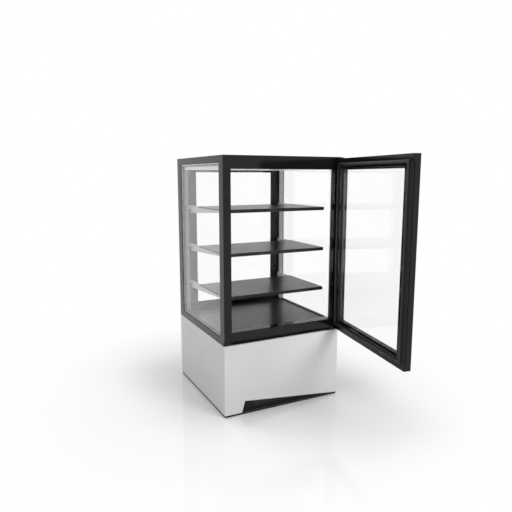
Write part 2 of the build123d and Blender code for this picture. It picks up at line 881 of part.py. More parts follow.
def recess_strip():
    """Glossy black strip set back between the white base and the front rail."""
    y = front + recess_setback
    return block(-front_rail_half, front_rail_half, y, chamber_front, base_height, rail_front_z)


def glass_pocket_side():
    """The space that the right-hand glass unit takes, with its clearance."""
    c = glass_clearance
    x0, x1, y0, y1, z0, z1 = side_glass_box()
    return block(x0 - c, x1 + c, y0 - c, y1 + c, z0 - c, z1 + c)


def side_glass_box():
    """Corners of the right-hand glass unit."""
    e = glass_edge_cover
    return (glass_inner_x, right - glass_inset, chamber_front - e, chamber_back + e,
            side_bottom_top_z - e, side_top_bottom_z + e)


def rear_glass_box():
    """Corners of the rear glass unit."""
    e = glass_edge_cover
    x = rear_rail_half + e
    return (-x, x, glass_inner_y, back - glass_inset, rear_bottom_top_z - e, rear_top_bottom_z + e)


def glass_pocket_rear():
    """The space that the rear glass unit takes, with its clearance."""
    c = glass_clearance
    x0, x1, y0, y1, z0, z1 = rear_glass_box()
    return block(x0 - c, x1 + c, y0 - c, y1 + c, z0 - c, z1 + c)


def hinge_leaf_box(z0, z1):
    """Corners of a hinge leaf let into the face of the right-hand front post."""
    x = around(pivot_x, hinge_plate_width)
    return (*x, front, front + hinge_leaf_thickness, z0, z1)


def front_post():
    """Right-hand front post: a box section with a rebate for the side glass and a set-back foot."""
    body = block(front_rail_half, right, front, chamber_front, base_height, cabinet_height)
    body -= block(front_rail_half, right, front, front + recess_setback, base_height, rail_front_z)
    w = post_wall
    inner_back = chamber_front - glass_edge_cover - w
    hollow = block(front_rail_half + w, right - w, front + recess_setback + w, inner_back,
                   base_height, cabinet_height - w)
    return body - hollow - glass_pocket_side()


def front_right_post():
    """The front post on the hinge side, with pockets for the two hinge leaves."""
    body = front_post()
    for z0, z1 in (top_leaf_span(), bottom_leaf_span()):
        body -= block(*hinge_leaf_box(max(z0, rail_front_z), z1))
    return body


def rear_post():
    """Right-hand rear post: a box section with rebates for both glass units and a thin inner flange."""
    body = block(rear_rail_half, right, chamber_back, back, base_height, cabinet_height)
    w = post_wall
    hollow = block(rear_rail_half + glass_edge_cover + w, glass_inner_x - w,
                   chamber_back + w, glass_inner_y - w, base_height, cabinet_height - w)
    flange = block(rear_flange_half, glass_inner_x - glass_clearance, rear_flange_y, chamber_back,
                   side_lip_top_z, lamp_bottom_z)
    return body + flange - hollow - glass_pocket_side() - glass_pocket_rear()


def front_bottom_rail():
    """Front rail over the recessed strip, between the posts."""
    h = front_rail_half
    return block(-h, h, front, chamber_front, rail_front_z, rail_front_top_z)


def front_top_rail():
    """Deep front rail under the roof, between the posts."""
    h = front_rail_half
    w = post_wall
    body = block(-h, h, front, chamber_front, front_top_bottom_z, cabinet_height)
    return body - block(-h, h, front + w, chamber_front - w, front_top_bottom_z + w, cabinet_height - w)


def side_bottom_rail():
    """Right-hand bottom rail: outer face, glass rebate and a higher inner lip."""
    body = block(chamber_half, right, chamber_front, chamber_back, base_height, side_bottom_top_z)
    body += block(chamber_half, glass_inner_x, chamber_front, chamber_back, side_bottom_top_z, side_lip_top_z)
    return body - glass_pocket_side()


def side_top_rail():
    """Right-hand top rail: outer face, glass rebate and a lower inner lip."""
    body = block(chamber_half, right, chamber_front, chamber_back, side_top_bottom_z, cabinet_height)
    body += block(chamber_half, glass_inner_x, chamber_front, chamber_back,
                  side_lip_bottom_z, side_top_bottom_z)
    return body - glass_pocket_side()


def rear_rail(z0, z1):
    """A boxed rear rail between the rear posts, with a rebate for the rear glass."""
    h = rear_rail_half
    w = post_wall
    body = block(-h, h, chamber_back, back, z0, z1)
    hollow = block(-h, h, chamber_back + w, glass_inner_y - w, z0 + w, z1 - w)
    return body - hollow - glass_pocket_rear()


def bottom_rails():
    """Left, right and rear bottom rails of the tower."""
    side = side_bottom_rail()
    x = rear_flange_half
    flange = block(-x, x, rear_flange_y, chamber_back, deck_top_z, rear_bottom_flange_z)
    rear = rear_rail(base_height, rear_bottom_top_z) + flange
    return Compound(children=[mirrored(side), side, rear])


def top_rails():
    """Left, right and rear top rails of the tower."""
    side = side_top_rail()
    return Compound(children=[mirrored(side), side, rear_rail(rear_top_bottom_z, cabinet_height)])


def panes_x(box, pane):
    """Two panes on the faces of a glass unit that stands across X."""
    x0, x1, y0, y1, z0, z1 = box
    return [block(x0, x0 + pane, y0, y1, z0, z1), block(x1 - pane, x1, y0, y1, z0, z1)]


def panes_y(box, pane):
    """Two panes on the faces of a glass unit that stands across Y."""
    x0, x1, y0, y1, z0, z1 = box
    return [block(x0, x1, y0, y0 + pane, z0, z1), block(x0, x1, y1 - pane, y1, z0, z1)]


def side_glass():
    """Right-hand double glazing."""
    return Compound(children=panes_x(side_glass_box(), pane_thickness))


def rear_glass():
    """Rear double glazing."""
    return Compound(children=panes_y(rear_glass_box(), pane_thickness))


def spacer_x(box, pane):
    """Edge spacer between the panes of a unit that stands across X."""
    x0, x1, y0, y1, z0, z1 = box
    i = spacer_inset
    w = spacer_inset + spacer_width
    ring = block(x0 + pane, x1 - pane, y0 + i, y1 - i, z0 + i, z1 - i)
    return ring - block(x0 + pane, x1 - pane, y0 + w, y1 - w, z0 + w, z1 - w)


def spacer_y(box, pane):
    """Edge spacer between the panes of a unit that stands across Y."""
    x0, x1, y0, y1, z0, z1 = box
    i = spacer_inset
    w = spacer_inset + spacer_width
    ring = block(x0 + i, x1 - i, y0 + pane, y1 - pane, z0 + i, z1 - i)
    return ring - block(x0 + w, x1 - w, y0 + pane, y1 - pane, z0 + w, z1 - w)


def glass_spacers():
    """Edge spacers of the three fixed glass units."""
    side = spacer_x(side_glass_box(), pane_thickness)
    return Compound(children=[mirrored(side), side, spacer_y(rear_glass_box(), pane_thickness)])


def roof_panel():
    """Black roof sheet with turned-down edges, between the top rails."""
    low = lamp_bottom_z + lamp_height
    s = roof_sheet
    body = block(-chamber_half, chamber_half, chamber_front, chamber_back, low, cabinet_height)
    return body - block(-chamber_half + s, chamber_half - s, chamber_front + s, chamber_back - s,
                        low, cabinet_height - s)


def ceiling_light():
    """White lamp pan under the roof, open upwards."""
    w = lamp_wall
    top = lamp_bottom_z + lamp_height
    body = block(-chamber_half, chamber_half, chamber_front, chamber_back, lamp_bottom_z, top)
    return body - block(-chamber_half + w, chamber_half - w, chamber_front + w, chamber_back - w,
                        lamp_bottom_z + w, top)


def light_strip():
    """Light strip up the inner face of the right-hand front post."""
    x1 = front_rail_half
    x0 = x1 - light_strip_width
    y1 = chamber_front
    y0 = y1 - light_strip_depth
    body = block(x0, x1, y0, y1, rail_front_top_z, front_top_bottom_z)
    return fillet(body.edges().filter_by(Axis.Z).sort_by(Axis.X)[:2], light_strip_wall)


def light_strips():
    """The two light strips of the front posts."""
    strip = light_strip()
    return Compound(children=[mirrored(strip), strip])


def shelf_tops():
    """Heights of the shelves' top faces, from the top shelf down."""
    return [top_shelf_z - i * shelf_spacing for i in range(shelf_count)]


def standard_slot_heights():
    """Centres of the slots, on the grid that the brackets hook into."""
    hook_z = top_shelf_z - shelf_sheet - bracket_rear_height / 4
    low = side_lip_top_z + slot_pitch
    high = lamp_bottom_z - slot_pitch / 2
    heights = []
    z = hook_z - slot_pitch * math.floor((hook_z - low) / slot_pitch)
    while z < high:
        heights.append(z)
        z += slot_pitch
    return heights


def slotted_standard():
    """Right-hand slotted standard: a channel in the rear corner, its slotted web facing inward."""
    w = standard_wall
    z0 = side_lip_top_z
    z1 = lamp_bottom_z
    body = block(standard_inner_x, standard_outer_x, standard_front, rear_flange_y, z0, z1)
    body -= block(standard_inner_x + w, standard_outer_x, standard_front + w, rear_flange_y - w, z0, z1)
    slots = []
    for z in standard_slot_heights():
        slots.append(block(standard_inner_x, standard_inner_x + w, *around(slot_y, standard_slot_width),
                           *around(z, standard_slot_height)))
    return body.cut(*slots)


def shelf_standards():
    """The two slotted standards in the rear corners."""
    standard = slotted_standard()
    return Compound(children=[mirrored(standard), standard])


def shelf_bracket(top):
    """Right-hand cantilever bracket: tapered plate, its rear tab bent through a slot of the standard."""
    z = top - shelf_sheet
    t = bracket_thickness
    x1 = bracket_outer_x
    y0 = shelf_front + 2 * shelf_sheet
    y1 = slot_y + t / 2
    outline = [
        (y0, z),
        (y1, z),
        (y1, z - bracket_rear_height),
        (y1 - bracket_rear_height, z - bracket_rear_height),
        (y0, z - bracket_front_height),
    ]
    line = Polyline([(x1 - t, y, h) for y, h in outline], close=True)
    plate = extrude(make_face(line), amount=t, dir=(1, 0, 0))
    seat_z = z - bracket_rear_height / 4 - standard_slot_height / 2
    tab = block(x1 - t, standard_inner_x + bracket_tab_reach, y1 - t, y1, seat_z, seat_z + bracket_tab_height)
    return plate + tab


def shelf_brackets():
    """All brackets, a pair to each shelf."""
    pieces = []
    for top in shelf_tops():
        bracket = shelf_bracket(top)
        pieces += [mirrored(bracket), bracket]
    return Compound(children=pieces)


def shelf(top):
    """A folded shelf: flat sheet with short turned-down edges and a deeper front lip."""
    half = shelf_half
    s = shelf_sheet
    y0 = shelf_front
    y1 = shelf_front + shelf_depth
    body = block(-half, half, y0, y1, top - shelf_edge_height, top)
    body -= block(-half + s, half - s, y0 + s, y1 - s, top - shelf_edge_height, top - s)
    body += block(-half, half, y0, y0 + s, top - shelf_lip_height, top - shelf_edge_height)
    notch = block(bracket_outer_x - bracket_thickness - joint_clearance, bracket_outer_x + joint_clearance,
                  y1 - s, y1, top - shelf_edge_height, top - s)
    return body - notch - mirrored(notch)


def top_leaf_span():
    """Lowest and highest point of the upper hinge leaf."""
    top = door_top_z + bush_flange + joint_clearance + hinge_plate_thickness
    return top - hinge_leaf_height, top


def bottom_leaf_span():
    """Lowest and highest point of the lower hinge leaf."""
    low = door_bottom_z - bush_flange - joint_clearance - hinge_plate_thickness
    return low, low + hinge_leaf_height


def hinge_plate(z0, z1, plate_z0, pin_z, pin_direction):
    """A hinge: leaf let into the post, plate standing forward and a pin on the door's axis."""
    leaf = block(*hinge_leaf_box(z0, z1))
    x0, x1 = around(pivot_x, hinge_plate_width)
    y0 = pivot_y - hinge_plate_reach
    plate = block(x0, x1, y0, front, plate_z0, plate_z0 + hinge_plate_thickness)
    plate = fillet(plate.edges().filter_by(Axis.Z).sort_by(Axis.Y)[:2], hinge_plate_corner)
    pin = rod(pivot_x, pivot_y, pin_z, hinge_pin_radius, hinge_pin_length, (0, 0, pin_direction))
    return leaf + plate + pin


def hinge_plates():
    """Upper and lower hinge of the door, fixed to the right-hand front post."""
    z0, z1 = top_leaf_span()
    upper = hinge_plate(z0, z1, z1 - hinge_plate_thickness, z1 - hinge_plate_thickness, -1)
    z0, z1 = bottom_leaf_span()
    lower = hinge_plate(z0, z1, z0, z0 + hinge_plate_thickness, 1)
    return Compound(children=[upper, lower])


def door_bushes():
    """Flanged bushes at the top and bottom of the hinge stile, which run on the hinge pins."""
    bore = hinge_pin_radius + hinge_pin_clearance
    outer = bore + bush_wall
    bushes = []
    for z, direction in ((door_top_z, 1), (door_bottom_z, -1)):
        sleeve = rod(pivot_x, pivot_y, z, outer, hinge_pin_length, (0, 0, -direction))
        flange = rod(pivot_x, pivot_y, z, bush_flange_radius, bush_flange, (0, 0, direction))
        mouth_z = z + direction * bush_flange
        hole = rod(pivot_x, pivot_y, mouth_z, bore, 2 * hinge_pin_length, (0, 0, -direction))
        bushes.append(sleeve + flange - hole)
    return Compound(children=bushes)


def door_opening():
    """Corners of the clear opening of the door's frame."""
    return (door_free_x + door_free_stile_width, door_hinge_x - door_hinge_stile_width,
            door_bottom_z + door_rail_height, door_top_z - door_rail_height)


def door_glass_box():
    """Corners of the door's glass unit."""
    x0, x1, z0, z1 = door_opening()
    e = glass_edge_cover
    unit = 2 * door_pane_thickness + door_pane_gap
    y0, y1 = around(pivot_y, unit)
    return (x0 - e, x1 + e, y0, y1, z0 - e, z1 + e)


def ring(x0, x1, y0, y1, z0, z1, width):
    """A flat rectangular ring that stands across Y."""
    inner = block(x0 + width, x1 - width, y0, y1, z0 + width, z1 - width)
    return block(x0, x1, y0, y1, z0, z1) - inner


def gasket_box():
    """Outer corners of the gasket's path on the door's inner face."""
    g = gasket_offset
    return (door_free_x + g, door_hinge_x - g / 2, door_bottom_z + g, door_top_z - g)


def door_frame_ring():
    """The whole frame of the door before it is parted: rebate for the glass, bevel and gasket groove."""
    x0, x1, z0, z1 = door_opening()
    body = block(door_free_x, door_hinge_x, door_outer_y, door_inner_y, door_bottom_z, door_top_z)
    body = fillet(body.edges().filter_by(Axis.Z), door_corner_radius)
    body -= block(x0, x1, door_outer_y, door_inner_y, z0, z1)
    c = door_bead_chamfer
    flare = loft([
        Plane(origin=((x0 + x1) / 2, door_inner_y, (z0 + z1) / 2), z_dir=(0, 1, 0), x_dir=(1, 0, 0))
        * Rectangle(x1 - x0 + 2 * c, z1 - z0 + 2 * c),
        Plane(origin=((x0 + x1) / 2, door_inner_y - c, (z0 + z1) / 2), z_dir=(0, 1, 0), x_dir=(1, 0, 0))
        * Rectangle(x1 - x0, z1 - z0),
    ])
    body -= flare
    gx0, gx1, gy0, gy1, gz0, gz1 = door_glass_box()
    k = glass_clearance
    body -= block(gx0 - k, gx1 + k, gy0 - k, gy1 + k, gz0 - k, gz1 + k)
    bx0, bx1, bz0, bz1 = gasket_box()
    m = (gasket_width - gasket_groove_width) / 2
    body -= ring(bx0 + m, bx1 - m, door_inner_y - gasket_groove_depth, door_inner_y, bz0 + m, bz1 - m,
                 gasket_groove_width)
    return body


def finger_pull():
    """The long scoop at the inner corner of the free stile, with round ends."""
    x = door_free_x + pull_offset
    y = door_inner_y + pull_standoff
    z0 = door_bottom_z + pull_end_margin + pull_radius
    z1 = door_top_z - pull_end_margin - pull_radius
    body = rod(x, y, z0, pull_radius, z1 - z0, (0, 0, 1))
    return body + Pos(x, y, z0) * Sphere(pull_radius) + Pos(x, y, z1) * Sphere(pull_radius)


def door_free_stile():
    """Free stile of the door with its finger pull."""
    x0 = door_opening()[0]
    keep = block(door_free_x, x0, door_outer_y, door_inner_y, door_bottom_z, door_top_z)
    return (door_frame_ring() & keep) - finger_pull()


def door_hinge_stile():
    """Hinge stile of the door, bored at both ends for the bushes."""
    x1 = door_opening()[1]
    keep = block(x1, door_hinge_x, door_outer_y, door_inner_y, door_bottom_z, door_top_z)
    body = door_frame_ring() & keep
    outer = hinge_pin_radius + hinge_pin_clearance + bush_wall
    for z, direction in ((door_top_z, -1), (door_bottom_z, 1)):
        body -= rod(pivot_x, pivot_y, z, outer, hinge_pin_length, (0, 0, direction))
    return body


def door_rails():
    """Top and bottom rails of the door, between its stiles."""
    x0, x1, z0, z1 = door_opening()
    frame = door_frame_ring()
    upper = frame & block(x0, x1, door_outer_y, door_inner_y, z1, door_top_z)
    lower = frame & block(x0, x1, door_outer_y, door_inner_y, door_bottom_z, z0)
    return Compound(children=[lower, upper])


def door_glass():
    """Double glazing of the door."""
    return Compound(children=panes_y(door_glass_box(), door_pane_thickness))


def door_spacer():
    """Edge spacer between the door's panes."""
    return spacer_y(door_glass_box(), door_pane_thickness)


def door_gasket():
    """Magnetic gasket: root in the groove, flat base and a soft bulb all round the door."""
    x0, x1, z0, z1 = gasket_box()
    y = door_inner_y
    root_m = (gasket_width - gasket_groove_width) / 2
    bulb_m = (gasket_width - gasket_bulb_width) / 2
    body = ring(x0, x1, y, y + gasket_base, z0, z1, gasket_width)
    body += ring(x0 + bulb_m, x1 - bulb_m, y + gasket_base, y + gasket_height, z0 + bulb_m, z1 - bulb_m,
                 gasket_bulb_width)
    body += ring(x0 + root_m, x1 - root_m, y - gasket_groove_depth, y, z0 + root_m, z1 - root_m,
                 gasket_groove_width)
    return body


def opened(shape):
    """Turn a piece of the door from its closed place to the angle it stands at."""
    hinge_line = Axis((pivot_x, pivot_y, 0), (0, 0, 1))
    return gathered([solid.rotate(hinge_line, door_open_angle) for solid in shape.solids()])


def nodes():
    """Every piece by name, in the order in which it is put together."""
    buttons = button_places()
    shelves = shelf_tops()
    panel = side_panel()
    glass = side_glass()
    z_fan = evaporator_fan_z()
    made = {
        "base_frame": base_frame(),
        "front_panel": front_panel(),
        "left_panel": mirrored(panel),
        "right_panel": panel,
        "rear_panel": rear_panel(),
        "panel_screws": panel_screws(),
        "vent_grille": vent_grille(),
        "thermostat": thermostat(),
        "set_button": thermostat_button(buttons[0]),
        "down_button": thermostat_button(buttons[1]),
        "up_button": thermostat_button(buttons[2]),
        "switch_housings": Compound(children=[switch_housing(x) for x in (power_switch_x, light_switch_x)]),
        "power_switch": rocker(power_switch_x),
        "light_switch": rocker(light_switch_x),
        "power_inlet": power_inlet(),
        "electrical_box": electrical_box(),
        "compressor": compressor(),
        "compressor_grommets": compressor_grommets(),
        "condenser_coil": condenser_coil(),
        "condenser_shroud": condenser_shroud(),
        "condenser_fan_motor": motor(0, condenser_arm_y(), fan_centre_z(), condenser_motor_radius,
                                     condenser_motor_length),
        "condenser_fan": fan(0, condenser_arm_y(), fan_centre_z(), condenser_fan_radius, fan_hub_radius,
                             fan_hub_length - fan_gap, motor_arm_thickness),
        "drip_tray": drip_tray(),
        "refrigerant_pipes": refrigerant_pipes(),
        "insulated_tub": insulated_tub(),
        "evaporator_coil": evaporator_coil(),
        "evaporator_fan_plate": evaporator_fan_plate(),
        "evaporator_fan_left": fan(-evaporator_fan_offset, evaporator_arm_y(), z_fan, evaporator_fan_radius,
                                   evaporator_hub_radius, evaporator_hub_length, motor_arm_thickness),
        "evaporator_fan_right": fan(evaporator_fan_offset, evaporator_arm_y(), z_fan, evaporator_fan_radius,
                                    evaporator_hub_radius, evaporator_hub_length, motor_arm_thickness),
        "deck_tray": deck_tray(),
        "recess_strip": recess_strip(),
        "front_left_post": mirrored(front_post()),
        "front_right_post": front_right_post(),
        "rear_left_post": mirrored(rear_post()),
        "rear_right_post": rear_post(),
        "front_bottom_rail": front_bottom_rail(),
        "bottom_rails": bottom_rails(),
        "front_top_rail": front_top_rail(),
        "top_rails": top_rails(),
        "left_glass": mirrored(glass),
        "right_glass": glass,
        "rear_glass": rear_glass(),
        "glass_spacers": glass_spacers(),
        "roof_panel": roof_panel(),
        "ceiling_light": ceiling_light(),
        "light_strips": light_strips(),
        "shelf_standards": shelf_standards(),
        "shelf_brackets": shelf_brackets(),
        "top_shelf": shelf(shelves[0]),
        "middle_shelf": shelf(shelves[1]),
        "bottom_shelf": shelf(shelves[2]),
        "hinge_plates": hinge_plates(),
        "door_hinge_stile": opened(door_hinge_stile()),
        "door_free_stile": opened(door_free_stile()),
        "door_rails": opened(door_rails()),
        "door_glass": opened(door_glass()),
        "door_spacer": opened(door_spacer()),
        "door_gasket": opened(door_gasket()),
        "door_bushes": opened(door_bushes()),
    }
    return made


os.makedirs("parts", exist_ok=True)
for name, shape in nodes().items():
    shape.label = name
    export_step(shape, "parts/" + name + ".step")
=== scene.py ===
import json
import math

import bmesh
import bpy
import numpy as np
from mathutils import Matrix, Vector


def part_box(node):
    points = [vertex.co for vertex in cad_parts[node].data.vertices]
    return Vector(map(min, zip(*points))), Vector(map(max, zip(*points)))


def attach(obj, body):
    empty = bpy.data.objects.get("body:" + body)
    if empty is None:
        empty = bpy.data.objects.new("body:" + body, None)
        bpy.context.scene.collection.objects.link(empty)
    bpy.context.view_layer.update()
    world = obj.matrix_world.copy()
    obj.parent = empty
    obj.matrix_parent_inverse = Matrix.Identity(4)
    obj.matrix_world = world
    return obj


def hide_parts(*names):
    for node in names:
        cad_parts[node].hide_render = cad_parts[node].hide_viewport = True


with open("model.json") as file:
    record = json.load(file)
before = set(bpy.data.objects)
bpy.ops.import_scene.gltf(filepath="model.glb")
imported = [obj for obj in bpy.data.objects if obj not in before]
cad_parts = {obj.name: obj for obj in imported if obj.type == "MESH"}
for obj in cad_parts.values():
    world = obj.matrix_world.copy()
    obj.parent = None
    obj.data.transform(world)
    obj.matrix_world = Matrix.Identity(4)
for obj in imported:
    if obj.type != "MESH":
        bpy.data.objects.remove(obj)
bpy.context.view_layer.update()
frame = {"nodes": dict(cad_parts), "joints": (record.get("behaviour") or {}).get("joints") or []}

# Studio floor and light.
# A white floor and a white sky, with two soft boxes.
# The floor keeps the cabinet's cast shadow, has painted shadow darkening its colour near the
# cabinet and the open door, and turns to plain white further out.
floor_half = 14.0
floor_tone = 0.55
floor_seen_tone = 0.93
floor_seen_glow = 0.02
floor_roughness = 0.07
floor_shine = 0.45
clear_radius = 0.60
white_radius = 1.50
sky_strength = 0.66
white = (1, 1, 1, 1)

# The middle and half size of each rectangle of painted shadow on the floor, its reach and its
# darkest tone.
cabinet_painted_shadow = ((0.04, 0.10), (0.36, 0.25), 0.50, 0.74)
door_painted_shadow = ((0.35, -0.575), (0.07, 0.225), 0.38, 0.86)

# The place of each soft box, the point it faces, its side and its power in watts.
soft_boxes = {
    "key_lamp": ((1.6, -4.2, 3.6), (0, 0, 0.6), 2.4, 124),
    "back_lamp": ((-1.2, 2.2, 4.2), (0, 0, 0.3), 2.2, 48),
}

# The sockets of a Mix node that works on colours.
mix_share = 0
mix_first = 6
mix_second = 7
mix_result = 2


def placed(name, data):
    """A new object at the origin, linked into the scene."""
    thing = bpy.data.objects.new(name, data)
    bpy.context.scene.collection.objects.link(thing)
    return thing


def new_material(name):
    """An empty node material with its output, as (material, nodes, links, output)."""
    material = bpy.data.materials.new(name)
    material.use_nodes = True
    nodes = material.node_tree.nodes
    nodes.clear()
    return material, nodes, material.node_tree.links, nodes.new("ShaderNodeOutputMaterial")


def calc(nodes, links, kind, operation, *values):
    """A Math or VectorMath node, whose inputs in turn are linked to a socket or set to a value."""
    node = nodes.new(f"ShaderNode{kind}")
    node.operation = operation
    for socket, value in zip(node.inputs, values):
        if isinstance(value, bpy.types.NodeSocket):
            links.new(value, socket)
        else:
            socket.default_value = value
    return node


def colour_mix(nodes, links, share, first, second):
    """A colour between two others, each a socket or three values, by a share from 0 to 1."""
    mix = nodes.new("ShaderNodeMix")
    mix.data_type = "RGBA"
    links.new(share, mix.inputs[mix_share])
    for place, colour in ((mix_first, first), (mix_second, second)):
        if isinstance(colour, bpy.types.NodeSocket):
            links.new(colour, mix.inputs[place])
        else:
            mix.inputs[place].default_value = (*colour, 1)
    return mix.outputs[mix_result]


def shader_mix(nodes, links, share, first, second):
    """A shader between those of two nodes, by a share from 0 to 1."""
    mix = nodes.new("ShaderNodeMixShader")
    links.new(share, mix.inputs["Fac"])
    links.new(first.outputs[0], mix.inputs[1])
    links.new(second.outputs[0], mix.inputs[2])
    return mix.outputs[0]


def smooth_range(nodes, links, value, ends):
    """A value taken smoothly from one range to another, with the ends that aren't 0 and 1."""
    ramp = nodes.new("ShaderNodeMapRange")
    ramp.interpolation_type = "SMOOTHSTEP"
    for name, end in ends.items():
        ramp.inputs[name].default_value = end
    links.new(value, ramp.inputs["Value"])
    return ramp.outputs["Result"]


def seen_ray(nodes, links):
    """1 for camera, glossy and transmission rays, and 0 for the rays that light things."""
    path = nodes.new("ShaderNodeLightPath")
    total = path.outputs["Is Camera Ray"]
    for other in ("Is Glossy Ray", "Is Transmission Ray"):
        add = calc(nodes, links, "Math", "ADD", total, path.outputs[other])
        add.use_clamp = True
        total = add.outputs[0]
    return total


def painted_contact_shadow(nodes, links, place, middle, half, reach, tone):
    """Painted shadow: a tone over a rectangle of the floor that rises to 1 at a reach from its
    edges.
    """
    shift = calc(nodes, links, "VectorMath", "SUBTRACT", place, (*middle, 0))
    size = calc(nodes, links, "VectorMath", "ABSOLUTE", shift.outputs["Vector"])
    past = calc(nodes, links, "VectorMath", "SUBTRACT", size.outputs["Vector"], (*half, 0))
    outside = calc(nodes, links, "VectorMath", "MAXIMUM", past.outputs["Vector"], (0, 0, 0))
    gap = calc(nodes, links, "VectorMath", "LENGTH", outside.outputs["Vector"])
    return smooth_range(nodes, links, gap.outputs["Value"], {"From Max": reach, "To Min": tone})


def floor_material():
    """White floor: matt near the cabinet, with painted shadow near the cabinet and the door, and by
    distance a glow of strength 1 for seeing rays.
    """
    material, nodes, links, output = new_material("studio_floor")
    seen = seen_ray(nodes, links)
    place = nodes.new("ShaderNodeTexCoord").outputs["Object"]
    matt = nodes.new("ShaderNodeBsdfPrincipled")
    matt.inputs["Roughness"].default_value = floor_roughness
    matt.inputs["Specular IOR Level"].default_value = floor_shine
    matt.inputs["Emission Color"].default_value = white
    colour = colour_mix(nodes, links, seen, [floor_tone] * 3, [floor_seen_tone] * 3)
    # Painted shadow: the floor's colour is darkened near the cabinet and under the open door.
    for shade in (cabinet_painted_shadow, door_painted_shadow):
        scaled = calc(nodes, links, "VectorMath", "SCALE", colour)
        links.new(painted_contact_shadow(nodes, links, place, *shade), scaled.inputs["Scale"])
        colour = scaled.outputs["Vector"]
    links.new(colour, matt.inputs["Base Color"])
    lift = calc(nodes, links, "Math", "MULTIPLY", seen, floor_seen_glow)
    links.new(lift.outputs[0], matt.inputs["Emission Strength"])
    away = calc(nodes, links, "VectorMath", "LENGTH", place).outputs["Value"]
    fade = smooth_range(nodes, links, away, {"From Min": clear_radius, "From Max": white_radius})
    share = calc(nodes, links, "Math", "MULTIPLY", fade, seen).outputs[0]
    glow = nodes.new("ShaderNodeEmission")
    links.new(shader_mix(nodes, links, share, matt, glow), output.inputs["Surface"])
    return material


def white_sky():
    """A world that is plain white for seeing rays and a soft light for the others."""
    world = bpy.data.worlds.new("studio_sky")
    world.use_nodes = True
    nodes = world.node_tree.nodes
    links = world.node_tree.links
    nodes.clear()
    light = nodes.new("ShaderNodeBackground")
    light.inputs["Color"].default_value = white
    light.inputs["Strength"].default_value = sky_strength
    seen = nodes.new("ShaderNodeBackground")
    seen.inputs["Color"].default_value = white
    output = nodes.new("ShaderNodeOutputWorld")
    mixed = shader_mix(nodes, links, seen_ray(nodes, links), light, seen)
    links.new(mixed, output.inputs["Surface"])
    return world


def soft_box(name, place, target, size, power):
    """A square area lamp at a place, facing a target."""
    lamp = bpy.data.lights.new(name, "AREA")
    lamp.size = size
    lamp.energy = power
    holder = placed(name, lamp)
    holder.location = place
    line = np.array(target) - np.array(place)
    reach = math.hypot(line[0], line[1])
    holder.rotation_euler = (math.atan2(reach, -line[2]), 0, math.atan2(-line[0], line[1]))


floor_corners = floor_half * np.array([(-1.0, -1, 0), (1, -1, 0), (1, 1, 0), (-1, 1, 0)])
floor_mesh = bpy.data.meshes.new("studio_floor")
floor_mesh.from_pydata(floor_corners.tolist(), [], [(0, 1, 2, 3)])
floor_mesh.materials.append(floor_material())
floor = placed("studio_floor", floor_mesh)
bpy.context.scene.world = white_sky()
for box_name, box_values in soft_boxes.items():
    soft_box(box_name, *box_values)

# Camera.
# Placed by fitting a pinhole to the cabinet's corners in the photograph.
# Its focal length is in pixels of a 512-pixel frame, turned here into a lens.
camera_place = (-1.3085, -2.6214, 1.2463)
camera_turn = 26.617
camera_dip = 8.970
focal_pixels = 503.76
frame_pixels = 512
sensor_width = 36.0
lens = bpy.data.cameras.new("photo_camera")
lens.sensor_width = sensor_width
lens.lens = focal_pixels / frame_pixels * sensor_width
camera = placed("photo_camera", lens)
camera.location = camera_place
camera.rotation_euler = (math.radians(90 - camera_dip), 0, math.radians(-camera_turn))
bpy.context.scene.camera = camera
bpy.context.scene.view_settings.view_transform = "Standard"

# White base panels.
# Powder-coated steel sheets with the fine orange peel of sprayed paint.
# They are folded at the top, and the louvred rear one is screwed to the corner angles.
noise_low = 0.3
noise_high = 0.7
noise_detail = 3.0
gloss_fineness = 3
peel_gain = 10
peel_depth = 0.0004


def noise_value(nodes, links, scale, low, high, stretch=(1, 1, 1)):
    """Smooth noise in object space, stretched along the axes, mapped to a range of values."""
    place = nodes.new("ShaderNodeTexCoord")
    mapping = nodes.new("ShaderNodeMapping")
    mapping.inputs["Scale"].default_value = stretch
    links.new(place.outputs["Object"], mapping.inputs["Vector"])
    noise = nodes.new("ShaderNodeTexNoise")
    noise.inputs["Scale"].default_value = scale
    noise.inputs["Detail"].default_value = noise_detail
    links.new(mapping.outputs["Vector"], noise.inputs["Vector"])
    spread = nodes.new("ShaderNodeMapRange")
    spread.inputs["From Min"].default_value = noise_low
    spread.inputs["From Max"].default_value = noise_high
    spread.inputs["To Min"].default_value = low
    spread.inputs["To Max"].default_value = high
    links.new(noise.outputs["Fac"], spread.inputs["Value"])
    return spread.outputs["Result"]


def finish(name, dark, light, rough, scale, peel, peel_height, metallic=0.0,
           stretch=(1, 1, 1), glow=0.0, shine=0.5):
    """A surface whose colour drifts between two tones, with varied gloss and a fine grained bump.

    The drift and the gloss have a scale, and the grain has its own scale, peel, and height.
    """
    material, nodes, links, output = new_material(name)
    shader = nodes.new("ShaderNodeBsdfPrincipled")
    shader.inputs["Metallic"].default_value = metallic
    shader.inputs["Specular IOR Level"].default_value = shine
    drift = noise_value(nodes, links, scale, 0, 1, stretch)
    links.new(colour_mix(nodes, links, drift, dark, light), shader.inputs["Base Color"])
    gloss = noise_value(nodes, links, scale * gloss_fineness, *rough, stretch)
    links.new(gloss, shader.inputs["Roughness"])
    bump = nodes.new("ShaderNodeBump")
    bump.inputs["Strength"].default_value = peel_height * peel_gain
    bump.inputs["Distance"].default_value = peel_depth
    links.new(noise_value(nodes, links, peel, 0, 1, stretch), bump.inputs["Height"])
    links.new(bump.outputs["Normal"], shader.inputs["Normal"])
    if glow:
        shader.inputs["Emission Color"].default_value = (*light, 1)
        shader.inputs["Emission Strength"].default_value = glow
    links.new(shader.outputs[0], output.inputs["Surface"])
    return material


def dress(material, *names):
    """Give a material to nodes of the frame."""
    for name in names:
        for place in frame["nodes"][name].material_slots:
            place.material = material


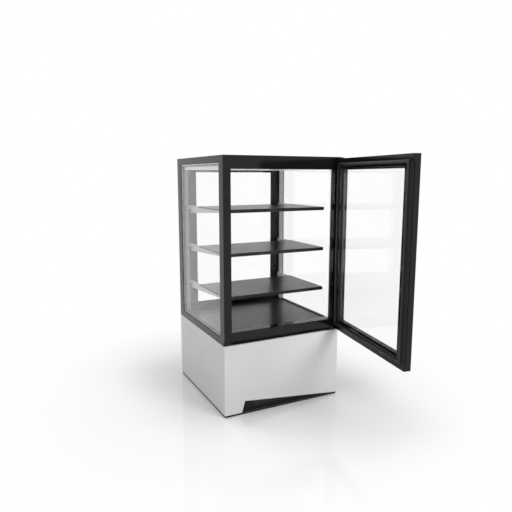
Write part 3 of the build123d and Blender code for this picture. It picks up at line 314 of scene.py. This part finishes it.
white_paint = finish("white_powder_coat", (0.70, 0.70, 0.705), (0.74, 0.74, 0.742),
                     rough=(0.34, 0.42), scale=3.0, peel=700.0, peel_height=0.012)
dress(white_paint, "front_panel", "left_panel", "right_panel", "rear_panel")

# Base frame, grille, hinges and screws.
# Welded and pressed steel in satin black powder coat, and zinc-plated screws in the rear panel.
# The grille is a separate sheet with diamonds punched through it, painted a little lighter.
black_steel = finish("satin_black_steel", (0.007, 0.007, 0.0075), (0.014, 0.014, 0.0145),
                     rough=(0.30, 0.42), scale=9.0, peel=800.0, peel_height=0.02, shine=0.35)
dress(black_steel, "base_frame", "hinge_plates")
grille_paint = finish("grille_paint", (0.009, 0.009, 0.0095), (0.015, 0.015, 0.0155),
                      rough=(0.30, 0.40), scale=20.0, peel=300.0, peel_height=0.004, shine=0.35)
dress(grille_paint, "vent_grille")
screw_zinc = finish("zinc_plate", (0.50, 0.51, 0.53), (0.66, 0.67, 0.69),
                    rough=(0.25, 0.40), scale=200.0, peel=900.0, peel_height=0.02, metallic=1.0)
dress(screw_zinc, "panel_screws")

# Frames of the glass tower and the door.
# Extruded aluminium posts, rails and stiles and a steel roof sheet, in smooth black paint.
# The strip set back under the tower is glossier and a slightly green black.
tower_paint = finish("tower_black_paint", (0.006, 0.006, 0.0063), (0.009, 0.009, 0.0094),
                     rough=(0.08, 0.12), scale=4.0, peel=120.0, peel_height=0.0006, shine=0.24)
dress(tower_paint, "front_left_post", "front_right_post", "rear_left_post", "rear_right_post",
      "front_bottom_rail", "bottom_rails", "front_top_rail", "top_rails", "roof_panel",
      "door_hinge_stile", "door_free_stile", "door_rails")
strip_gloss = finish("recess_black_gloss", (0.003, 0.0055, 0.003), (0.005, 0.008, 0.005),
                     rough=(0.10, 0.16), scale=4.0, peel=120.0, peel_height=0.0006, shine=0.05)
dress(strip_gloss, "recess_strip")

# Double glazing.
# Clear float glass with a faint green-grey body, in the walls and in the door.
# A metal spacer seals the edges: bright in the walls and dark anodised in the door.
glass_index = 1.17
glass_tones = (0.985, 0.992, 0.990), (0.992, 0.997, 0.995)
glass_drift = 2.0
glass_roughness = (0.0, 0.006)
glass_wave = 5.0
glass_shadow = (0.986, 0.990, 0.989)


def glass_material():
    """Clear glass with a weak mirror, which lets lamp light straight through."""
    material, nodes, links, output = new_material("clear_float_glass")
    shader = nodes.new("ShaderNodeBsdfPrincipled")
    shader.inputs["Transmission Weight"].default_value = 1.0
    shader.inputs["IOR"].default_value = glass_index
    body = colour_mix(nodes, links, noise_value(nodes, links, glass_drift, 0, 1), *glass_tones)
    links.new(body, shader.inputs["Base Color"])
    wave = noise_value(nodes, links, glass_wave, *glass_roughness)
    links.new(wave, shader.inputs["Roughness"])
    clear = nodes.new("ShaderNodeBsdfTransparent")
    clear.inputs["Color"].default_value = (*glass_shadow, 1)
    shadow_ray = nodes.new("ShaderNodeLightPath").outputs["Is Shadow Ray"]
    links.new(shader_mix(nodes, links, shadow_ray, shader, clear), output.inputs["Surface"])
    return material


dress(glass_material(), "left_glass", "right_glass", "rear_glass", "door_glass")
spacer_bright = finish("mill_spacer", (0.50, 0.49, 0.47), (0.66, 0.65, 0.63),
                       rough=(0.16, 0.28), scale=60.0, peel=900.0, peel_height=0.02, metallic=1.0)
dress(spacer_bright, "glass_spacers")
spacer_dark = finish("anodised_spacer", (0.03, 0.03, 0.031), (0.05, 0.05, 0.051),
                     rough=(0.35, 0.5), scale=60.0, peel=900.0, peel_height=0.01, metallic=0.3)
dress(spacer_dark, "door_spacer")

# Lamps.
# Opal plastic covers over the ceiling lamp and the two strips up the front posts.
# Both glow softly, the strips more than the ceiling lamp.
for opal_name, opal_glow, opal_node in (("ceiling_opal", 0.20, "ceiling_light"),
                                        ("strip_opal", 0.75, "light_strips")):
    opal = finish(opal_name, (0.80, 0.80, 0.79), (0.86, 0.86, 0.85),
                  rough=(0.35, 0.45), scale=5.0, peel=500.0, peel_height=0.005, glow=opal_glow)
    dress(opal, opal_node)

# Shelves, deck and what carries them.
# Folded sheet in dark satin paint, on pressed silver brackets with a painted glow, hooked into
# slotted standards.
# The standards are silver with a painted glow on their inner side and a near-black painted shade
# inside their channels; the tub is light plastic.
channel_depth = 0.0115
# Near-black tone painted as shade inside the standards' channels.
channel_painted_shade = (0.06, 0.057, 0.055)
standards_low, standards_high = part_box("shelf_standards")
web_face = standards_high[0] - channel_depth
shelf_paint = finish("shelf_dark_paint", (0.017, 0.0152, 0.0146), (0.022, 0.0198, 0.019),
                     rough=(0.27, 0.31), scale=2.5, peel=90.0, peel_height=0.0006, shine=0.24)
dress(shelf_paint, "top_shelf", "middle_shelf", "bottom_shelf", "deck_tray")
# The brackets' silver paint glows a little: painted light.
silver = finish("silver_steel", (0.48, 0.48, 0.475), (0.58, 0.58, 0.575), rough=(0.28, 0.42),
                scale=30.0, peel=300.0, peel_height=0.006, metallic=0.05, glow=0.06)
dress(silver, "shelf_brackets")


def standard_silver_and_painted_light():
    """Silver paint with a painted glow up to the standards' webs, and a near-black painted shade
    inside the channels, further out along X.
    """
    material = finish("standard_silver_painted_glow_and_shade", (0.78, 0.78, 0.77), (0.90, 0.90, 0.89),
                      rough=(0.28, 0.42), scale=30.0, peel=300.0, peel_height=0.006, glow=0.12)
    nodes = material.node_tree.nodes
    links = material.node_tree.links
    shader = next(node for node in nodes if node.bl_idname == "ShaderNodeBsdfPrincipled")
    painted = shader.inputs["Base Color"].links[0].from_socket
    parts = nodes.new("ShaderNodeSeparateXYZ")
    links.new(nodes.new("ShaderNodeTexCoord").outputs["Object"], parts.inputs[0])
    out = calc(nodes, links, "Math", "ABSOLUTE", parts.outputs["X"]).outputs[0]
    # Painted shade: beyond the web face, inside the channel, the colour turns near black.
    inside = calc(nodes, links, "Math", "GREATER_THAN", out, web_face).outputs[0]
    both = colour_mix(nodes, links, inside, painted, channel_painted_shade)
    links.new(both, shader.inputs["Base Color"])
    return material


dress(standard_silver_and_painted_light(), "shelf_standards")
liner = finish("tub_liner", (0.55, 0.56, 0.56), (0.62, 0.63, 0.63),
               rough=(0.35, 0.45), scale=6.0, peel=700.0, peel_height=0.01)
dress(liner, "insulated_tub")

# Controls on the rear panel.
# A thermostat with three keys, two rocker switches and the mains inlet, all moulded plastic.
# The power rocker is green and the light rocker black.
moulded_black = finish("moulded_black", (0.020, 0.020, 0.021), (0.035, 0.035, 0.036),
                       rough=(0.42, 0.55), scale=40.0, peel=1500.0, peel_height=0.05)
dress(moulded_black, "thermostat", "switch_housings", "power_inlet")
key_grey = finish("key_grey", (0.36, 0.37, 0.39), (0.42, 0.43, 0.45),
                  rough=(0.45, 0.55), scale=60.0, peel=1500.0, peel_height=0.04)
dress(key_grey, "set_button", "down_button", "up_button")
rocker_green = finish("rocker_green", (0.02, 0.26, 0.07), (0.03, 0.32, 0.09),
                      rough=(0.18, 0.26), scale=60.0, peel=900.0, peel_height=0.01, glow=0.15)
dress(rocker_green, "power_switch")
rocker_black = finish("rocker_black", (0.018, 0.018, 0.018), (0.028, 0.028, 0.028),
                      rough=(0.18, 0.28), scale=60.0, peel=900.0, peel_height=0.01)
dress(rocker_black, "light_switch")

# Machine room.
# Black compressor and motor, rubber mounts and door bushes, finned coils and galvanised sheet.
# The fans are black plastic and the pipes copper.
compressor_black = finish("compressor_black", (0.008, 0.008, 0.009), (0.016, 0.016, 0.017),
                          rough=(0.18, 0.3), scale=20.0, peel=700.0, peel_height=0.02)
dress(compressor_black, "compressor", "condenser_fan_motor")
rubber = finish("black_rubber", (0.015, 0.015, 0.015), (0.03, 0.03, 0.03),
                rough=(0.7, 0.85), scale=80.0, peel=1500.0, peel_height=0.05)
dress(rubber, "compressor_grommets", "door_bushes")
fins = finish("fin_aluminium", (0.42, 0.43, 0.44), (0.60, 0.61, 0.62), rough=(0.35, 0.5),
              scale=300.0, peel=400.0, peel_height=0.1, metallic=0.9, stretch=(6, 1, 0.2))
dress(fins, "condenser_coil", "evaporator_coil")
galvanised = finish("galvanised_sheet", (0.38, 0.40, 0.42), (0.55, 0.57, 0.59),
                    rough=(0.3, 0.5), scale=45.0, peel=300.0, peel_height=0.02, metallic=0.8)
dress(galvanised, "condenser_shroud", "evaporator_fan_plate", "drip_tray", "electrical_box")
fan_black = finish("fan_plastic", (0.03, 0.03, 0.032), (0.05, 0.05, 0.052),
                   rough=(0.35, 0.5), scale=30.0, peel=900.0, peel_height=0.02)
dress(fan_black, "condenser_fan", "evaporator_fan_left", "evaporator_fan_right")
copper = finish("copper_pipe", (0.55, 0.25, 0.13), (0.75, 0.40, 0.24),
                rough=(0.25, 0.45), scale=60.0, peel=900.0, peel_height=0.02, metallic=1.0)
dress(copper, "refrigerant_pipes")

# Door gasket.
# Extruded soft near-black bellows with a bulb for a magnet, in a groove of the door's inner face.
# It is one loop with welded corners, and stands in for the plain solid of the frame.
door_joint = next(joint for joint in frame["joints"] if joint["name"] == "door_hinge")
pivot = np.array(door_joint["pos_m"])
open_angle = -math.radians(door_joint["range_deg"][0])
sharp_angle = math.radians(38)
millimetre = 0.001


def turned(points, angle):
    """Points turned about the door's upright pivot line by an angle in radians."""
    x = points[..., 0] - pivot[0]
    y = points[..., 1] - pivot[1]
    c = math.cos(angle)
    s = math.sin(angle)
    return np.stack([pivot[0] + c * x - s * y, pivot[1] + s * x + c * y, points[..., 2]], axis=-1)


def closed_box(name):
    """Lowest and highest corners of a door node once the door is turned shut."""
    mesh = frame["nodes"][name].data
    flat = np.empty(len(mesh.vertices) * 3)
    mesh.vertices.foreach_get("co", flat)
    shut = turned(flat.reshape(-1, 3), -open_angle)
    return shut.min(axis=0), shut.max(axis=0)


def mitred_path(u0, u1, v0, v1):
    """A rectangle with square welded corners, as its corners and their outward directions."""
    signs = np.array([(1, 1), (-1, 1), (-1, -1), (1, -1)], dtype=float)
    middle = np.array([(u0 + u1) / 2, (v0 + v1) / 2])
    reach = np.array([(u1 - u0) / 2, (v1 - v0) / 2])
    return middle + signs * reach, signs


def swept_loop(profile, path):
    """A profile of (outward, depth) pairs carried round a path, as level, upright and depth values.

    Each section point is the path point moved outward by the pair's first value.
    """
    points, outward = path
    flat = points[:, None, :] + profile[None, :, 0, None] * outward[:, None, :]
    depth = np.broadcast_to(profile[None, :, 1], flat.shape[:2])
    return flat[..., 0], flat[..., 1], depth


def faces_outward(piece):
    """Recalculate the normals of a closed mesh so that they point out."""
    work = bmesh.new()
    work.from_mesh(piece.data)
    bmesh.ops.recalc_face_normals(work, faces=work.faces)
    work.to_mesh(piece.data)
    work.free()


def grid_mesh(name, rows, material):
    """A closed mesh from a grid of points, rows by columns by 3, that wraps both ways."""
    count, width = rows.shape[:2]
    index = np.arange(count * width).reshape(count, width)
    right = np.roll(index, -1, axis=1)
    down = np.roll(index, -1, axis=0)
    corner = np.roll(right, -1, axis=0)
    faces = np.stack([index, right, corner, down], axis=-1).reshape(-1, 4)
    mesh = bpy.data.meshes.new(name)
    mesh.from_pydata(rows.reshape(-1, 3).tolist(), [], faces.tolist())
    mesh.polygons.foreach_set("use_smooth", [True] * len(faces))
    mesh.set_sharp_from_angle(angle=sharp_angle)
    mesh.materials.append(material)
    piece = placed(name, mesh)
    faces_outward(piece)
    return piece


gasket_grey = finish("gasket_grey", (0.013, 0.0118, 0.0112), (0.021, 0.0192, 0.0182),
                     rough=(0.40, 0.52), scale=60.0, peel=1200.0, peel_height=0.03)
gasket_low, gasket_high = closed_box("door_gasket")
gasket_root = 0.003
gasket_half = 0.008
gasket_profile = millimetre * np.array([
    (-3, -2.6), (-2.2, -2.9), (2.2, -2.9), (3, -2.6), (2.6, 0.05), (7.6, 0.05), (7.9, 0.6),
    (7.2, 1.5), (3.6, 2.2), (3.2, 2.8), (3.9, 3.4), (5.6, 4.0), (6.1, 5.2), (5.4, 6.6),
    (4.0, 7.3), (-4.0, 7.3), (-5.4, 6.6), (-6.1, 5.2), (-5.6, 4.0), (-3.9, 3.4), (-3.2, 2.8),
    (-3.6, 2.2), (-7.2, 1.5), (-7.9, 0.6), (-7.6, 0.05), (-2.6, 0.05),
])
gasket_path = mitred_path(gasket_low[0] + gasket_half, gasket_high[0] - gasket_half,
                          gasket_low[2] + gasket_half, gasket_high[2] - gasket_half)
gasket_x, gasket_z, gasket_depth = swept_loop(gasket_profile, gasket_path)
gasket_y = gasket_low[1] + gasket_root + gasket_depth
gasket_rows = turned(np.stack([gasket_x, gasket_y, gasket_z], axis=-1), open_angle)
gasket = grid_mesh("door_gasket_bellows", gasket_rows, gasket_grey)
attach(gasket, "glass_door")
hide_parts("door_gasket")

# Glazing beads.
# Soft black rubber beads pressed between each pane and its frame, round the edge that shows.
# One loop lies on the outer face and one on the inner face of every glass unit.
bead_rubber = finish("bead_rubber", (0.008, 0.008, 0.008), (0.014, 0.014, 0.014),
                     rough=(0.55, 0.7), scale=90.0, peel=1500.0, peel_height=0.03)
edge_cover = 0.010
bead_corner = 0.0045
bead_profile = millimetre * np.array([
    (1.0, 0.0), (-2.4, 0.0), (-2.3, 0.5), (-1.6, 1.2), (-0.4, 1.6), (1.0, 1.7),
])


def loop_path(u0, u1, v0, v1, radius, steps=6):
    """A rectangle with rounded corners, as points and outward directions, both steps * 4 by 2."""
    turns = np.linspace(0, math.pi / 2, steps)
    centres = [(u1 - radius, v1 - radius), (u0 + radius, v1 - radius),
               (u0 + radius, v0 + radius), (u1 - radius, v0 + radius)]
    points = []
    outward = []
    for quarter, centre in enumerate(centres):
        angle = turns + quarter * math.pi / 2
        out = np.stack([np.cos(angle), np.sin(angle)], axis=-1)
        outward.append(out)
        points.append(np.array(centre) + radius * out)
    return np.concatenate(points), np.concatenate(outward)


def pane_points(across, level, upright, depth):
    """Points of a pane that faces along the axis across, 0 or 1, at a depth along that axis."""
    parts = [level, level, upright]
    parts[across] = depth
    return np.stack(parts, axis=-1)


def beads(pane, corners, across, body, angle=0.0):
    """Two swept loops round a pane, standing out from its faces, turned with the door at last."""
    low, high = corners
    along = 1 - across
    path = loop_path(low[along] + edge_cover, high[along] - edge_cover,
                     low[2] + edge_cover, high[2] - edge_cover, bead_corner)
    level, upright, rise = swept_loop(bead_profile, path)
    for side, face in ((-1, low[across]), (1, high[across])):
        where = "outer" if side * (low[across] + high[across]) > 0 else "inner"
        rows = pane_points(across, level, upright, face + side * rise)
        if angle:
            rows = turned(rows, angle)
        piece = grid_mesh(f"{pane}_bead_{where}", rows, bead_rubber)
        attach(piece, body)


beads("left_glass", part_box("left_glass"), 0, "cabinet")
beads("right_glass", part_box("right_glass"), 0, "cabinet")
beads("rear_glass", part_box("rear_glass"), 1, "cabinet")
beads("door_glass", closed_box("door_glass"), 1, "glass_door", open_angle)

# Spacer bars in the glass edge.
# Folded bright aluminium with a bevel on each side, filled with drying grains, between the panes.
# One mitred loop shows just inside the frame all round each fixed glass unit.
bar_profile = millimetre * np.array([
    (-10.3, -2.75), (-15.4, -2.75), (-16.6, -2.0), (-16.6, 2.0), (-15.4, 2.75), (-10.3, 2.75),
])


def spacer_bar(pane, across):
    """A bar swept round the middle of a glass unit that faces along the axis across."""
    low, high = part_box(pane)
    along = 1 - across
    path = mitred_path(low[along], high[along], low[2], high[2])
    level, upright, offset = swept_loop(bar_profile, path)
    depth = (low[across] + high[across]) / 2 + offset
    rows = pane_points(across, level, upright, depth)
    piece = grid_mesh(f"{pane}_spacer_bar", rows, spacer_bright)
    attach(piece, "cabinet")


spacer_bar("left_glass", 0)
spacer_bar("right_glass", 0)
spacer_bar("rear_glass", 1)

# Slotted face strips.
# Bright zinc-plated strips with a row of upright slots, one in each standard.
# They face the front, and are clipped against the rear leg of the standard's channel.
strip_outer = 0.3345
strip_inner = 0.3205
strip_front = 0.2796
strip_back = 0.2808
strip_end = 0.004
slot_outer = 0.3310
slot_inner = 0.3240
slot_height = 0.020
slot_pitch = 0.038
strip_zinc = finish("bright_zinc_strip", (0.52, 0.51, 0.49), (0.78, 0.77, 0.75),
                    rough=(0.14, 0.30), scale=90.0, peel=300.0, peel_height=0.006, metallic=1.0)


def slotted_strip(name, side, z0, z1):
    """A flat strip as a grid of 3 columns by bridges and slots in turn, open at the slots.

    A cell that is kept has a front and a back face, and a wall wherever no kept cell is next to it.
    """
    count = int((z1 - z0 - strip_end) // slot_pitch)
    first = (z0 + z1 - (count - 1) * slot_pitch) / 2
    middles = first + slot_pitch * np.arange(count)
    cuts = np.stack([middles - slot_height / 2, middles + slot_height / 2], axis=-1).reshape(-1)
    levels = np.concatenate([[z0], cuts, [z1]])
    edges = side * np.array([strip_inner, slot_inner, slot_outer, strip_outer])
    grid = np.array([[[(x, y, z) for x in edges] for z in levels]
                     for y in (strip_front, strip_back)])
    index = np.arange(grid[..., 0].size).reshape(grid.shape[:3])
    kept = np.zeros((len(levels) + 1, len(edges) + 1), dtype=bool)
    kept[1:-1, 1:-1] = True
    kept[2:-2:2, 2] = False
    faces = []
    for row, column in np.argwhere(kept):
        i, j = row - 1, column - 1
        faces.append(index[0, [i, i, i + 1, i + 1], [j, j + 1, j + 1, j]])
        faces.append(index[1, [i, i + 1, i + 1, i], [j, j, j + 1, j + 1]])
        walls = {(-1, 0): ((i, j), (i, j + 1)), (1, 0): ((i + 1, j), (i + 1, j + 1)),
                 (0, -1): ((i, j), (i + 1, j)), (0, 1): ((i, j + 1), (i + 1, j + 1))}
        for (down, right), (a, b) in walls.items():
            if not kept[row + down, column + right]:
                faces.append(np.array([index[0][a], index[0][b], index[1][b], index[1][a]]))
    mesh = bpy.data.meshes.new(name)
    mesh.from_pydata(grid.reshape(-1, 3).tolist(), [], np.array(faces).tolist())
    mesh.materials.append(strip_zinc)
    piece = placed(name, mesh)
    faces_outward(piece)
    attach(piece, "cabinet")


slotted_strip("left_slotted_strip", -1, standards_low[2], standards_high[2])
slotted_strip("right_slotted_strip", 1, standards_low[2], standards_high[2])

# Display lens.
# Smoked red acrylic with softened edges, glued into the thermostat's window.
# The display behind it is off, so it stays dark.
lens_red = finish("smoked_red_lens", (0.030, 0.002, 0.002), (0.050, 0.004, 0.003),
                  rough=(0.05, 0.10), scale=60.0, peel=900.0, peel_height=0.003)
lens_half = np.array([0.0147, 0.0067])
lens_corner = 0.0012
lens_corner_steps = 4
lens_thickness = 0.0005
lens_edge_share = 0.7
lens_recess = 0.0006
lens_offset_x = 0.020
lens_pole = 0.02
lens_rings = 5


def lens_rows(middle, face_y):
    """Rings of a rounded rectangle: a flat back, an upright edge and a front that rises a little.

    Both ends shrink to the pole share of the outline, and the front is highest at its middle.
    """
    points, _ = loop_path(-lens_half[0], lens_half[0], -lens_half[1], lens_half[1],
                          lens_corner, lens_corner_steps)
    rings = [(lens_pole, 0.0), (1.0, 0.0)]
    for share in 1 - (1 - lens_pole) * np.linspace(0, 1, lens_rings):
        height = lens_edge_share + (1 - lens_edge_share) * (1 - share)
        rings.append((share, lens_thickness * height))
    rows = [np.column_stack([points[:, 0] * share, np.full(len(points), rise),
                             points[:, 1] * share]) for share, rise in rings]
    return np.array(rows) + np.array([middle[0], face_y, middle[1]])


thermostat_low, thermostat_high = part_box("thermostat")
lens_middle = ((thermostat_low[0] + thermostat_high[0]) / 2 + lens_offset_x,
               (thermostat_low[2] + thermostat_high[2]) / 2)
lens_surface = lens_rows(lens_middle, thermostat_high[1] - lens_recess)
display_lens = grid_mesh("display_lens", lens_surface, lens_red)
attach(display_lens, "cabinet")
